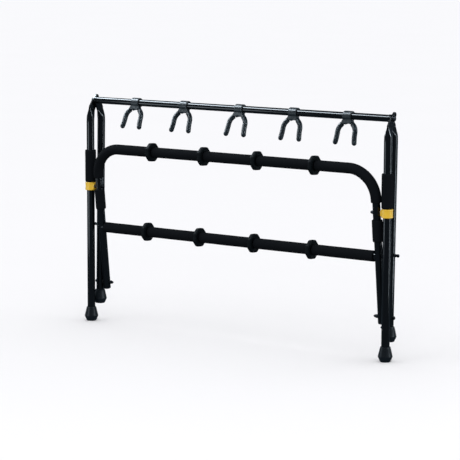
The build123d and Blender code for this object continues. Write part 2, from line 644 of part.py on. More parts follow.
FOAM_FROM = 34.0
skirt_low = YOKE_DROP + 5.8
skirt_top = SADDLE_W / 2 - 0.5
for number, (x, yoke_lean) in enumerate(zip(YOKE_X, YOKE_LEANS), start=1):
    plane = yoke_plane(x, yoke_lean)

    with BuildPart() as liner:
        with BuildSketch(Plane.YZ.offset(x - LINER_W / 2)):
            with Locations((HINGE_Y, HINGE_Z)):
                Circle(LINER_R)
                Circle(BAR_R + RUNNING, mode=Mode.SUBTRACT)
                with Locations((LINER_R, 0)):
                    Rectangle(LINER_R, 4, mode=Mode.SUBTRACT)
        extrude(amount=LINER_W)
    save(liner, f"yoke_liner_{number}")

    with BuildPart() as rod:
        with BuildLine(plane) as rod_left:
            arm_line(-1, 0)
        with BuildSketch(Plane(origin=rod_left.line @ 0, z_dir=rod_left.line % 0)):
            Circle(YOKE_ROD_R)
        sweep(path=rod_left.line)
        with BuildLine(plane) as rod_right:
            arm_line(1, 0)
        with BuildSketch(Plane(origin=rod_right.line @ 0, z_dir=rod_right.line % 0)):
            Circle(YOKE_ROD_R)
        sweep(path=rod_right.line)
    save(rod, f"yoke_rod_{number}")

    with BuildPart() as arms:
        for side in (-1, 1):
            with BuildLine(plane) as arm:
                arm_line(side, FOAM_FROM)
            with BuildSketch(Plane(origin=arm.line @ 0, z_dir=arm.line % 0)):
                Circle(YOKE_ARM_R)
            sweep(path=arm.line)
            with Locations(Location(arm.line @ 1)):
                Sphere(YOKE_ARM_R)
        for side in (-1, 1):
            with BuildLine(plane) as core:
                arm_line(side, FOAM_FROM - 12)
            with BuildSketch(Plane(origin=core.line @ 0, z_dir=core.line % 0)):
                Circle(YOKE_ROD_R + FIT)
            sweep(path=core.line, mode=Mode.SUBTRACT)
            with Locations(Location(core.line @ 1)):
                Sphere(YOKE_ROD_R + FIT, mode=Mode.SUBTRACT)
    save(arms, f"yoke_foam_{number}")

    with BuildPart() as saddle:
        with BuildSketch(Plane.YZ.offset(x - SADDLE_W / 2)):
            with Locations((HINGE_Y, HINGE_Z)):
                Circle(SADDLE_R)
        extrude(amount=SADDLE_W)
        rims = saddle.edges().filter_by(GeomType.CIRCLE)
        fillet(rims, radius=1.0)
        # skirt under the ring, which holds the bend of the rod
        with BuildSketch(plane.offset(-SKIRT_T / 2)):
            with BuildLine():
                Polyline((-skirt_top, 6), (-13.0, 11), (-16.4, skirt_low - 5.9), (-10.5, skirt_low))
                ThreePointArc((-10.5, skirt_low), (0, skirt_low - 2.8), (10.5, skirt_low))
                Polyline((10.5, skirt_low), (16.4, skirt_low - 5.9), (13.0, 11), (skirt_top, 6))
                Line((skirt_top, 6), (-skirt_top, 6))
            make_face()
        extrude(amount=SKIRT_T)
        with BuildSketch(Plane.YZ.offset(x - SADDLE_W)):
            with Locations((HINGE_Y, HINGE_Z)):
                Circle(LINER_R + 0.08)
        extrude(amount=2 * SADDLE_W, mode=Mode.SUBTRACT)
        # snap slot at the back of the ring
        with BuildSketch(Plane.YZ.offset(x - SADDLE_W)):
            with Locations((HINGE_Y + SADDLE_R, HINGE_Z + SLOT / 2)):
                Rectangle(SADDLE_R, SLOT)
        extrude(amount=2 * SADDLE_W, mode=Mode.SUBTRACT)
        for side in (-1, 1):
            with BuildLine(plane) as groove:
                arm_line(side, 0)
            with BuildSketch(Plane(origin=groove.line @ 0, z_dir=groove.line % 0)):
                Circle(YOKE_ROD_R + FIT)
            sweep(path=groove.line, mode=Mode.SUBTRACT)
            with BuildLine(plane) as pocket:
                arm_line(side, FOAM_FROM)
            with BuildSketch(Plane(origin=pocket.line @ 0, z_dir=pocket.line % 0)):
                Circle(YOKE_ARM_R + FIT)
            sweep(path=pocket.line, mode=Mode.SUBTRACT)
    save(saddle, f"yoke_saddle_{number}")
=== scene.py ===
import json
import math

import bpy
import bmesh
from mathutils import Matrix, Vector, noise


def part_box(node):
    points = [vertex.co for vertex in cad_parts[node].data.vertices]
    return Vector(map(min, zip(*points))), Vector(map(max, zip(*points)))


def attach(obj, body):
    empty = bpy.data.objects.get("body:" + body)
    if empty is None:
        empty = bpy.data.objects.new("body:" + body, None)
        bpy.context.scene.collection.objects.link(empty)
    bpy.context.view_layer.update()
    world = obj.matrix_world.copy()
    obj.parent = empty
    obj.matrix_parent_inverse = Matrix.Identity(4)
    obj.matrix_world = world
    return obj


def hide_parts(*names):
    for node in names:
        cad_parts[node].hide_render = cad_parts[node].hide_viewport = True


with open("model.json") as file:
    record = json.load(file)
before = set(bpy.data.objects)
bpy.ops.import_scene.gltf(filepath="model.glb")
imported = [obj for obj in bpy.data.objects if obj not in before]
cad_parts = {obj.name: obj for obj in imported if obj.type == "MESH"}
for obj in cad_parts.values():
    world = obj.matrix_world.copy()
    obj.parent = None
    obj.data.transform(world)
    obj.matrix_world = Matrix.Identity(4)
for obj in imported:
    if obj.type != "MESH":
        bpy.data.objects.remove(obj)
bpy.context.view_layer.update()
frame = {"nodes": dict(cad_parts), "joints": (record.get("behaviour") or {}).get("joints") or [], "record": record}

MM = 0.001
NODES = frame["nodes"]
JOINTS = {joint["name"]: joint for joint in frame["joints"]}
YOKES = range(1, 6)
SIDES = {"left": -1, "right": 1}

LEG_R = 11.1 * MM          # radius of the leg tubes
REST_R = 10.5 * MM         # radius of the tubes of the rest frame
CORNER_R = 80 * MM         # bend of the rest frame, on its centreline


# ---- places taken from the frame -----------------------------------------------------------------


def centre(node):
    """Middle of a node's box."""
    low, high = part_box(node)
    return (low + high) / 2


HINGE = Vector(JOINTS["rear_leg_fold"]["pos_m"])
TAIL = Vector(JOINTS["rest_frame_tilt"]["pos_m"])
TOP_RAIL = centre("top_foam_middle")
CROSS_RAIL = centre("cross_foam")
REST_UP = (Vector((0, TOP_RAIL.y, TOP_RAIL.z)) - Vector((0, TAIL.y, TAIL.z))).normalized()
REST_NORMAL = Vector((1, 0, 0)).cross(REST_UP)
REST_TOP = (Vector((0, TOP_RAIL.y, TOP_RAIL.z)) - Vector((0, TAIL.y, TAIL.z))).length
REST_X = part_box("rest_frame_tube")[1].x - REST_R


def rest_point(x, s):
    """A point of the rest frame's plane: x along the rack, s up from the tail pivots."""
    return Vector((x, TAIL.y, TAIL.z)) + REST_UP * s


# ---- materials -----------------------------------------------------------------------------------


class Shade:
    """A material with a Principled shader and short calls for the nodes in front of it."""

    def __init__(self, name, **constants):
        self.material = bpy.data.materials.new(name)
        self.material.use_nodes = True
        self.tree = self.material.node_tree
        self.tree.nodes.clear()
        self.out = self.node("ShaderNodeOutputMaterial")
        self.shader = self.node("ShaderNodeBsdfPrincipled")
        self.link(self.shader.outputs["BSDF"], self.out.inputs["Surface"])
        for key, value in constants.items():
            self.shader.inputs[key.replace("_", " ")].default_value = value
        self.place = self.node("ShaderNodeTexCoord").outputs["Object"]
        self.height = None

    def node(self, kind, **settings):
        """Add one node and set its properties."""
        made = self.tree.nodes.new(kind)
        for key, value in settings.items():
            setattr(made, key, value)
        return made

    def link(self, source, target):
        self.tree.links.new(source, target)

    def stretch(self, scale):
        """Object coordinates scaled by a different amount along each axis."""
        mapping = self.node("ShaderNodeMapping")
        self.link(self.place, mapping.inputs["Vector"])
        mapping.inputs["Scale"].default_value = scale
        return mapping.outputs["Vector"]

    def noise(self, scale, detail=4.0, rough=0.55, coords=None):
        made = self.node("ShaderNodeTexNoise")
        self.link(coords or self.place, made.inputs["Vector"])
        made.inputs["Scale"].default_value = scale
        made.inputs["Detail"].default_value = detail
        made.inputs["Roughness"].default_value = rough
        return made.outputs["Fac"]

    def cells(self, scale, feature="F1", coords=None):
        made = self.node("ShaderNodeTexVoronoi", feature=feature)
        self.link(coords or self.place, made.inputs["Vector"])
        made.inputs["Scale"].default_value = scale
        return made.outputs["Distance"]

    def remap(self, value, low, high, to_low=0.0, to_high=1.0):
        """Map the range low to high onto a new range, clamped at both ends."""
        made = self.node("ShaderNodeMapRange")
        self.link(value, made.inputs["Value"])
        made.inputs["From Min"].default_value = low
        made.inputs["From Max"].default_value = high
        made.inputs["To Min"].default_value = to_low
        made.inputs["To Max"].default_value = to_high
        return made.outputs["Result"]

    def maths(self, operation, first, second):
        made = self.node("ShaderNodeMath", operation=operation)
        for socket, value in zip(made.inputs, (first, second)):
            if isinstance(value, (int, float)):
                socket.default_value = value
            else:
                self.link(value, socket)
        return made.outputs[0]

    def mix(self, factor, first, second):
        """Mix of two colours; each is a tuple or a socket."""
        made = self.node("ShaderNodeMix", data_type="RGBA")
        self.link(factor, made.inputs["Factor"])
        for name, value in (("A", first), ("B", second)):
            socket = next(s for s in made.inputs if s.name == name and s.type == "RGBA")
            if isinstance(value, tuple):
                socket.default_value = (*value, 1.0)
            else:
                self.link(value, socket)
        return next(s for s in made.outputs if s.type == "RGBA")

    def colour(self, source):
        self.link(source, self.shader.inputs["Base Color"])

    def roughness(self, source):
        self.link(source, self.shader.inputs["Roughness"])

    def bump(self, height, distance, strength=1.0):
        """Stack one more layer of relief on the shader's normal."""
        made = self.node("ShaderNodeBump")
        made.inputs["Distance"].default_value = distance
        made.inputs["Strength"].default_value = strength
        self.link(height, made.inputs["Height"])
        if self.height is not None:
            self.link(self.height, made.inputs["Normal"])
        self.height = made.outputs["Normal"]
        self.link(self.height, self.shader.inputs["Normal"])


def enamel():
    """Gloss black powder coat: faint orange peel, fine rub marks and a little dust."""
    shade = Shade("gloss_black_enamel", Specular_IOR_Level=0.5)
    patches = shade.noise(14, detail=6)
    dust = shade.remap(shade.noise(420, detail=3, rough=0.7), 0.62, 0.8, 0.0, 0.15)
    tone = shade.mix(patches, (0.0018, 0.0021, 0.0028), (0.0036, 0.0042, 0.0054))
    shade.colour(shade.mix(dust, tone, (0.018, 0.019, 0.021)))
    rubs = shade.noise(60, detail=8, rough=0.75, coords=shade.stretch((0.4, 1, 1)))
    shade.roughness(shade.remap(rubs, 0.3, 0.75, 0.08, 0.18))
    shade.bump(shade.noise(700, detail=2), 0.00006, 0.35)
    shade.bump(shade.noise(90, detail=2), 0.0001, 0.2)
    return shade.material


def foam():
    """Matt closed-cell foam: small open cells at the skin, chalky lighter patches."""
    shade = Shade("matt_black_foam", Specular_IOR_Level=0.03)
    patches = shade.noise(22, detail=6, rough=0.6)
    fine = shade.noise(900, detail=3, rough=0.6)
    tone = shade.mix(patches, (0.0034, 0.0043, 0.0055), (0.0058, 0.0073, 0.0094))
    pits = shade.remap(shade.cells(950), 0.05, 0.5)
    shade.colour(shade.mix(shade.maths("MULTIPLY", pits, fine), tone, (0.0082, 0.0101, 0.0130)))
    shade.roughness(shade.remap(patches, 0.3, 0.7, 0.82, 0.97))
    shade.bump(pits, 0.00035, 0.6)
    shade.bump(shade.noise(120, detail=3), 0.0006, 0.35)
    return shade.material


def rubber(name, dark, light, rough, shine, glint_colour=None):
    """Moulded rubber: mottling, grain from the mould, dust and, if wanted, lighter flecks that are painted glints.
    """
    shade = Shade(name, Specular_IOR_Level=shine)
    patches = shade.noise(45, detail=6, rough=0.65)
    grain = shade.noise(1100, detail=4, rough=0.7)
    dust = shade.remap(shade.noise(180, detail=5, rough=0.7), 0.55, 0.75, 0.0, 0.35)
    tone = shade.mix(patches, dark, light)
    tone = shade.mix(dust, tone, tuple(1.6 * c for c in light))
    if glint_colour:
        # painted highlight: lighter flecks stand in for glints on the dimpled rubber
        painted_glint_mask = shade.remap(shade.noise(230, detail=1, rough=0.4), 0.6, 0.68)
        tone = shade.mix(painted_glint_mask, tone, glint_colour)
    shade.colour(tone)
    shade.roughness(shade.remap(grain, 0.3, 0.7, rough - 0.08, rough + 0.12))
    shade.bump(grain, 0.00012, 0.5)
    shade.bump(shade.noise(210, detail=3), 0.0002, 0.25)
    return shade.material


def yellow_plastic():
    """Warm yellow moulded plastic with slight flow marks and scuffs."""
    shade = Shade("warm_yellow_plastic", Subsurface_Weight=0.08, Subsurface_Scale=0.003, Coat_Weight=0.15)
    shade.shader.inputs["Subsurface Radius"].default_value = (1.0, 0.55, 0.12)
    flow = shade.noise(70, detail=5, rough=0.6, coords=shade.stretch((1, 1, 0.3)))
    scuffs = shade.remap(shade.noise(380, detail=6, rough=0.8), 0.6, 0.78, 0.0, 0.5)
    tone = shade.mix(flow, (0.88, 0.54, 0.030), (0.97, 0.64, 0.048))
    shade.colour(shade.mix(scuffs, tone, (0.52, 0.30, 0.05)))
    shade.roughness(shade.remap(flow, 0.3, 0.7, 0.3, 0.48))
    shade.bump(shade.noise(800, detail=3), 0.00008, 0.4)
    return shade.material


def hardware():
    """Black zinc-plated steel, worn a little on its high spots."""
    shade = Shade("black_zinc_steel", Metallic=1.0)
    worn = shade.remap(shade.noise(500, detail=6, rough=0.75), 0.5, 0.75)
    shade.colour(shade.mix(worn, (0.014, 0.015, 0.018), (0.06, 0.061, 0.066)))
    shade.roughness(shade.remap(shade.noise(260, detail=4), 0.3, 0.7, 0.22, 0.45))
    shade.bump(shade.noise(1500, detail=3), 0.00005, 0.4)
    return shade.material


def nylon(name, dark, light):
    """Grained moulded nylon."""
    shade = Shade(name, Specular_IOR_Level=0.6)
    patches = shade.noise(80, detail=5)
    grain = shade.cells(1400, feature="SMOOTH_F1")
    shade.colour(shade.mix(patches, dark, light))
    shade.roughness(shade.remap(patches, 0.3, 0.7, 0.3, 0.44))
    shade.bump(grain, 0.0002, 0.45)
    shade.bump(shade.noise(160, detail=3), 0.00015, 0.3)
    return shade.material


LOOKS = {
    "black_enamel": enamel(),
    "black_foam": foam(),
    "black_rubber": rubber("satin_black_rubber", dark=(0.0034, 0.0053, 0.0068),
                           light=(0.0056, 0.0086, 0.0110), rough=0.5, shine=0.05),
    # the yoke rubber carries painted glint flecks
    "yoke_rubber": rubber("dimpled_grey_rubber", dark=(0.0048, 0.0094, 0.0128),
                          light=(0.0084, 0.0148, 0.0200), rough=0.27, shine=0.6,
                          glint_colour=(0.055, 0.085, 0.105)),
    "yoke_plastic": nylon("grained_grey_nylon", dark=(0.0105, 0.0175, 0.0220),
                          light=(0.0150, 0.0240, 0.0300)),
    "yellow_plastic": yellow_plastic(),
    "dark_hardware": hardware(),
    "black_nylon": nylon("plain_black_nylon", dark=(0.008, 0.009, 0.011), light=(0.016, 0.017, 0.019)),
}

FOOT_LOOK = rubber("foot_rubber", dark=(0.0040, 0.0066, 0.0098), light=(0.0066, 0.0106, 0.0155),
                   rough=0.34, shine=0.35)

for row in frame["record"]["subparts"]:
    mesh = NODES[row["node"]].data
    mesh.materials.clear()
    mesh.materials.append(FOOT_LOOK if "_foot_" in row["node"] else LOOKS[row["material_slot"]])


# ---- mesh builders -------------------------------------------------------------------------------


def ring_faces(first, second, around):
    """Quads between two rings of vertices, given the number of each ring's first vertex."""
    return [(first + k, first + (k + 1) % around, second + (k + 1) % around, second + k)
            for k in range(around)]


def finish_mesh(name, vertices, faces, slot_name, body, replaced):
    """Make a smooth object that rides on its body and stands for the replaced nodes."""
    mesh = bpy.data.meshes.new(name)
    mesh.from_pydata([tuple(v) for v in vertices], [], faces)
    shape = bmesh.new()
    shape.from_mesh(mesh)
    bmesh.ops.recalc_face_normals(shape, faces=shape.faces)
    shape.to_mesh(mesh)
    shape.free()
    mesh.materials.append(LOOKS[slot_name])
    mesh.polygons.foreach_set("use_smooth", [True] * len(mesh.polygons))
    piece = bpy.data.objects.new(name, mesh)
    bpy.context.scene.collection.objects.link(piece)
    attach(piece, body)
    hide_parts(*replaced)
    return piece


def straight_path(start, end, step):
    """Points and tangents along a straight line."""
    count = max(2, int((end - start).length / step) + 1)
    tangent = (end - start).normalized()
    return [(start.lerp(end, i / (count - 1)), tangent) for i in range(count)]


def arc_path(middle, first, second, radius, sweep, step):
    """Points and tangents of an arc that starts at middle + first * radius and turns towards second."""
    count = max(3, int(radius * sweep / step) + 1)
    path = []
    for i in range(count):
        angle = sweep * i / (count - 1)
        point = middle + (first * math.cos(angle) + second * math.sin(angle)) * radius
        tangent = second * math.cos(angle) - first * math.sin(angle)
        path.append((point, tangent))
    return path


def join_paths(*paths):
    """One path from several that meet end to end."""
    joined = list(paths[0])
    for path in paths[1:]:
        joined += path[1:]
    return joined


def running_lengths(path):
    """Length along the path at each of its points."""
    lengths = [0.0]
    for (a, _), (b, _) in zip(path, path[1:]):
        lengths.append(lengths[-1] + (b - a).length)
    return lengths


SLEEVE_SIDES = 48
LIP_TUCK = 0.15            # how far the bore starts behind the mouth, as a part of the lip


def sleeve_rings(path, outer, inner, lip, closed):
    """Rings of a sleeve as (place, tangent, radius, length along); a bore's rings have None there."""
    lengths = running_lengths(path)
    total = lengths[-1]
    start, tangent = path[0]
    rings = [(start + tangent * lip * LIP_TUCK, tangent, inner, None)]
    for degrees in (0, 30, 60):
        turn = math.radians(degrees)
        ahead = lip * (1 - math.cos(turn))
        rings.append((start + tangent * ahead, tangent, outer - lip * (1 - math.sin(turn)), ahead))
    for (point, direction), along in zip(path, lengths):
        if lip <= along <= total - (0 if closed else lip):
            rings.append((point, direction, outer, along))
    end, tangent = path[-1]
    if closed:
        for degrees in range(10, 90, 10):
            turn = math.radians(degrees)
            place = end + tangent * outer * math.sin(turn)
            rings.append((place, tangent, outer * math.cos(turn), total + outer * turn))
        return rings
    for degrees in (60, 30, 0):
        turn = math.radians(degrees)
        back = lip * (1 - math.cos(turn))
        rings.append((end - tangent * back, tangent, outer - lip * (1 - math.sin(turn)), total - back))
    rings.append((end - tangent * lip * LIP_TUCK, tangent, inner, None))
    for (point, direction), along in reversed(list(zip(path, lengths))):
        if lip < along < total - lip:
            rings.append((point, direction, inner, None))
    return rings


def sleeve(name, path, side_axis, outer, inner, relief, slot_name, body, replaced, lip, closed=False):
    """A soft tube on a path, with rounded mouths.

    relief(length along, angle, point) moves the outer skin in or out. side_axis is square to the
    whole path. A closed sleeve is capped at its mouth and ends in a round tip.
    """
    rings = sleeve_rings(path, outer, inner, lip, closed)
    vertices = []
    for point, direction, radius, along in rings:
        up = side_axis.cross(direction).normalized()
        for k in range(SLEEVE_SIDES):
            angle = 2 * math.pi * k / SLEEVE_SIDES
            ray = side_axis * math.cos(angle) + up * math.sin(angle)
            reach = radius
            if along is not None:
                reach += relief(along, angle, point) * min(1.0, radius / outer)
            vertices.append(point + ray * reach)
    count = len(rings)
    faces = []
    for i in range(count - 1 if closed else count):
        faces += ring_faces(i * SLEEVE_SIDES, (i + 1) % count * SLEEVE_SIDES, SLEEVE_SIDES)
    if closed:
        faces.append(tuple(range((count - 1) * SLEEVE_SIDES, count * SLEEVE_SIDES)))
        faces.append(tuple(reversed(range(SLEEVE_SIDES))))
    return finish_mesh(name, vertices, faces, slot_name, body, replaced)


# ---- foam on the legs and the rest frame ---------------------------------------------------------

FOAM_STEP = 2.5 * MM       # between the rings of a foam tube
TUBE_GAP = 0.1 * MM        # between foam and tube
FOAM_UNEVEN = 0.32 * MM    # scale of the bumps and hollows
FOLDS = 9.5                # small folds inside each corner
FOLD_DEPTH = 0.5 * MM
SEAM_DEPTH = 0.9 * MM
SEAM_WIDTH = 0.9 * MM
SEAM_STEP = 0.5 * MM       # finer rings beside the seam
SEAM_REACH = 4 * MM        # how far to each side of the seam they go
CROSS_SEAM_X = -145 * MM   # joint in the cross rail's foam
DIVIDER_ROOM = 5.7 * MM    # from a divider's middle to the foam beside it


def foam_relief(seed):
    """Slow unevenness of a pushed-on foam tube."""

    def relief(along, angle, point):
        place = Vector((along * 26 + seed * 7.3, math.cos(angle) * 0.9, math.sin(angle) * 0.9))
        broad = noise.noise(place)
        small = noise.noise(Vector((along * 150, math.cos(angle) * 3 + seed, math.sin(angle) * 3)))
        return FOAM_UNEVEN * (0.75 * broad + 0.3 * small) - FOAM_UNEVEN * 0.6

    return relief


def leg_sleeves():
    """Foam grips on the front legs and the inner legs of the rest frame."""
    for seed, (name, side) in enumerate(SIDES.items()):
        low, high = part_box(f"front_sleeve_{name}")
        axis = (low + high) / 2
        radius = (high.x - low.x) / 2
        path = straight_path(Vector((axis.x, axis.y, low.z)), Vector((axis.x, axis.y, high.z)), FOAM_STEP)
        piece = sleeve(f"front_grip_{name}", path, Vector((1, 0, 0)), radius, LEG_R + TUBE_GAP,
                       foam_relief(seed), "black_foam", "front_frame", (f"front_sleeve_{name}",),
                       lip=2.6 * MM)

        low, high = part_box(f"rest_sleeve_{name}")
        radius = (high.x - low.x) / 2
        lean = radius * abs(REST_UP.y)
        bottom = (low.z + lean - TAIL.z) / REST_UP.z
        top = (high.z - lean - TAIL.z) / REST_UP.z
        path = straight_path(rest_point(side * REST_X, bottom), rest_point(side * REST_X, top), FOAM_STEP)
        piece = sleeve(f"rest_grip_{name}", path, Vector((1, 0, 0)), radius, REST_R + TUBE_GAP,
                       foam_relief(seed + 4), "black_foam", "rest_frame", (f"rest_sleeve_{name}",),
                       lip=2.6 * MM)


def folded(smooth, bend, outward):
    """Relief whose inner side gathers in small folds where the foam turns a corner."""
    inner_side = 1 if outward.x < 0 else -1

    def relief(along, angle, point):
        value = smooth(along, angle, point)
        arm = point - bend
        if arm.dot(outward) > 0 and arm.dot(REST_UP) > 0:
            turn = math.atan2(arm.dot(REST_UP), arm.dot(outward))
            weight = math.sin(2 * turn) * max(0.0, -math.sin(angle) * inner_side) ** 2
            value -= FOLD_DEPTH * weight * (0.5 + 0.5 * math.sin(4 * FOLDS * turn))
        return value

    return relief


def corner_foam():
    """Foam that runs up each leg of the rest frame, round the corner and along the top rail."""
    for seed, (name, side) in enumerate(SIDES.items()):
        low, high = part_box(f"top_foam_{name}")
        radius = high.x - REST_X if side > 0 else -REST_X - low.x
        bottom = (low.z + radius * abs(REST_UP.y) - TAIL.z) / REST_UP.z
        inner_x = low.x if side > 0 else high.x
        leg_x = side * REST_X
        rail_x = side * (REST_X - CORNER_R)
        turn_s = REST_TOP - CORNER_R
        bend = rest_point(rail_x, turn_s)
        outward = Vector((side, 0, 0))
        path = join_paths(
            straight_path(rest_point(leg_x, bottom), rest_point(leg_x, turn_s), FOAM_STEP),
            arc_path(bend, outward, REST_UP, CORNER_R, math.pi / 2, FOAM_STEP),
            straight_path(rest_point(rail_x, REST_TOP), rest_point(inner_x, REST_TOP), FOAM_STEP),
        )
        relief = folded(foam_relief(seed + 11), bend, outward)
        piece = sleeve(f"corner_foam_{name}", path, REST_NORMAL, radius, REST_R + TUBE_GAP, relief,
                       "black_foam", "rest_frame", (f"top_foam_{name}",), lip=2.2 * MM)


def seamed(smooth, seam):
    """Relief with one butt joint: a narrow groove round the foam at a place along it."""

    def relief(along, angle, point):
        groove = math.exp(-(((along - seam) / SEAM_WIDTH) ** 2))
        return smooth(along, angle, point) - SEAM_DEPTH * groove

    return relief


def seamed_path(start, end, seam_x):
    """A straight path along X with finer steps beside the seam."""
    path = straight_path(start, end, FOAM_STEP)
    fine = straight_path(start, end, SEAM_STEP)
    near = [stop for stop in fine if abs(stop[0].x - seam_x) < SEAM_REACH]
    before = [stop for stop in path if stop[0].x < near[0][0].x - SEAM_STEP]
    after = [stop for stop in path if stop[0].x > near[-1][0].x + SEAM_STEP]
    return before + near + after


def rail_foam(name, node, rail, dividers, seam_x=None):
    """Foam lengths butted between the dividers of a rail; one of them can be made up of two pieces."""
    low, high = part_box(node)
    radius = (high.z - low.z) / 2
    gaps = [mark + way * DIVIDER_ROOM for mark in sorted(dividers) for way in (-1, 1)]
    edges = [low.x, *gaps, high.x]
    for number, (start_x, end_x) in enumerate(zip(edges[::2], edges[1::2]), start=1):
        start = Vector((start_x, rail.y, rail.z))
        end = Vector((end_x, rail.y, rail.z))
        path = straight_path(start, end, FOAM_STEP)
        relief = foam_relief(number * 3 + len(name))
        if seam_x is not None and start_x < seam_x < end_x:
            path = seamed_path(start, end, seam_x)
            relief = seamed(relief, seam_x - start_x)
        piece = sleeve(f"{name}_{number}", path, REST_NORMAL, radius, REST_R + TUBE_GAP,
                       relief, "black_foam", "rest_frame", (node,), lip=1.4 * MM)


def islands(node):
    """Middle x of each separate solid in a node that repeats along the rack, left to right."""
    apart = 10 * MM
    values = sorted(vertex.co.x for vertex in NODES[node].data.vertices)
    groups = [[values[0]]]
    for value in values[1:]:
        if value - groups[-1][-1] > apart:
            groups.append([])
        groups[-1].append(value)
    return [(group[0] + group[-1]) / 2 for group in groups]


DIVIDER_HALF = 25.75 * MM  # middle to flat
DIVIDER_THICK = 11.0 * MM
DIVIDER_BORE = 10.6 * MM   # radius of the hole for the rail
DIVIDER_LEAN = math.radians(3)
DIVIDER_ROUND = 26         # the higher, the sharper the corners of the octagon
DIVIDER_SIDES = 96
DIVIDER_UNEVEN = 0.12 * MM
# section of a plate: part of the way from bore to edge, and depth as a part of the thickness
DIVIDER_FACE = [(0.0, 0.36), (0.42, 0.40), (0.62, 0.42), (0.72, 0.49), (0.9, 0.5), (0.965, 0.44),
                (0.992, 0.3)]
TOP_MARKS = islands("top_dividers")
CROSS_MARKS = islands("cross_dividers")


def octagon_reach(angle):
    """Distance from the middle of a plate to its edge: an octagon with soft corners."""
    total = sum(abs(math.cos(angle - i * math.pi / 4)) ** DIVIDER_ROUND for i in range(4))
    return DIVIDER_HALF * total ** (-1 / DIVIDER_ROUND)


def divider_plates(name, node, rail, marks):
    """Soft octagonal plates with rounded corners, slightly dished, with a raised rim."""
    plate_up = Vector((0, math.sin(DIVIDER_LEAN), math.cos(DIVIDER_LEAN)))
    plate_side = Vector((1, 0, 0)).cross(plate_up)
    profile = [(part, -depth) for part, depth in DIVIDER_FACE] + [(1.0, 0.0)] + DIVIDER_FACE[::-1]
    for number, mark in enumerate(marks, start=1):
        vertices = []
        for part, depth in profile:
            place = Vector((mark + depth * DIVIDER_THICK, rail.y, rail.z))
            for k in range(DIVIDER_SIDES):
                angle = 2 * math.pi * k / DIVIDER_SIDES
                reach = DIVIDER_BORE + (octagon_reach(angle) - DIVIDER_BORE) * part
                spot = Vector((mark * 40, math.cos(angle) * 2, math.sin(angle) * 2))
                wobble = DIVIDER_UNEVEN * noise.noise(spot)
                ray = plate_up * math.cos(angle) + plate_side * math.sin(angle)
                vertices.append(place + ray * (reach + wobble * part))
        faces = []
        for i in range(len(profile)):
            faces += ring_faces(i * DIVIDER_SIDES, (i + 1) % len(profile) * DIVIDER_SIDES, DIVIDER_SIDES)
        finish_mesh(f"{name}_{number}", vertices, faces, "black_rubber", "rest_frame", (node,))


# ---- yokes ---------------------------------------------------------------------------------------

YOKE_BEND = 27.0 * MM      # radius of the U, on its centreline
YOKE_DROP = 17.0 * MM      # bar centre to the top of the U
YOKE_REACH = 71.5 * MM     # bar centre to the round ends of the arms
YOKE_TIP_X = 29.5 * MM     # arms stand this far from the middle at their ends
YOKE_LEANS = (22.5, 20.0, 21.0, 17.0, 15.5)    # degrees forward of hanging straight down
YOKE_FOAM_FROM = math.radians(34)              # where the rubber starts on the bend
YOKE_ARM_R = 6.95 * MM     # radius over the bosses
YOKE_BORE = 3.2 * MM       # radius of the mouth round the rod
YOKE_STEP = 0.5 * MM       # between the rings of an arm
BOSS_ROW = 4.2 * MM        # from row to row along the arm
BOSS_COLUMNS = 9
BOSS_HEIGHT = 0.38 * MM


def knurl(along, angle, point):
    """Small round bosses in rows that wind slowly round the arm."""
    row = along / BOSS_ROW
    column = angle / (2 * math.pi) * BOSS_COLUMNS + 0.5 * math.floor(row)
    dot = math.cos(2 * math.pi * column) * math.cos(2 * math.pi * row + math.pi)
    return BOSS_HEIGHT * max(-0.5, dot) - BOSS_HEIGHT


def arm_path(hub, down, outward):
    """Centreline of one arm: the last part of the bend, then a slightly splayed tail."""
    bend = hub + down * (YOKE_DROP + YOKE_BEND)
    first = -down * math.cos(YOKE_FOAM_FROM) + outward * math.sin(YOKE_FOAM_FROM)
    second = outward * math.cos(YOKE_FOAM_FROM) + down * math.sin(YOKE_FOAM_FROM)
    arc = arc_path(bend, first, second, YOKE_BEND, math.pi / 2 - YOKE_FOAM_FROM, YOKE_STEP)
    run = YOKE_REACH - YOKE_DROP - YOKE_BEND
    splay = YOKE_TIP_X - YOKE_BEND
    radius = (run * run + splay * splay) / (2 * splay)
    pivot = bend + outward * (YOKE_BEND + radius)
    tail = arc_path(pivot, -outward, down, radius, math.asin(run / radius), YOKE_STEP)
    return join_paths(arc, tail)


def yoke_arms():
    """Dimpled rubber sleeves on both arms of every yoke."""
    for number, lean in zip(YOKES, YOKE_LEANS):
        middle_x = JOINTS[f"yoke_swing_{number}"]["pos_m"][0]
        hub = Vector((middle_x, HINGE.y, HINGE.z))
        down = Vector((0, -math.sin(math.radians(lean)), -math.cos(math.radians(lean))))
        square = Vector((1, 0, 0)).cross(down)
        for name, side in SIDES.items():
            path = arm_path(hub, down, Vector((side, 0, 0)))
            sleeve(f"yoke_arm_{number}_{name}", path, square, YOKE_ARM_R, YOKE_BORE, knurl, "yoke_rubber",
                   f"yoke_{number}", (f"yoke_foam_{number}",), lip=0.6 * MM, closed=True)


leg_sleeves()
corner_foam()
rail_foam("top_rail_foam", "top_foam_middle", TOP_RAIL, TOP_MARKS[1:-1])
rail_foam("cross_rail_foam", "cross_foam", CROSS_RAIL, CROSS_MARKS, seam_x=CROSS_SEAM_X)
divider_plates("top_divider", "top_dividers", TOP_RAIL, TOP_MARKS)
divider_plates("cross_divider", "cross_dividers", CROSS_RAIL, CROSS_MARKS)
yoke_arms()

# ---- smooth shading for the CAD pieces that stay -------------------------------------------------

SHARP_FROM = math.radians(32)    # edges that turn further stay sharp

for node in NODES.values():
    if node.hide_render:
        continue
    mesh = node.data
    mesh.polygons.foreach_set("use_smooth", [True] * len(mesh.polygons))
    mesh.set_sharp_from_angle(angle=SHARP_FROM)


# ---- floor, light and camera ---------------------------------------------------------------------

FLOOR_RINGS = (0.6, 1.5, 4.0, 12.0, 40.0, 150.0)    # radii in metres
FLOOR_SIDES = 96


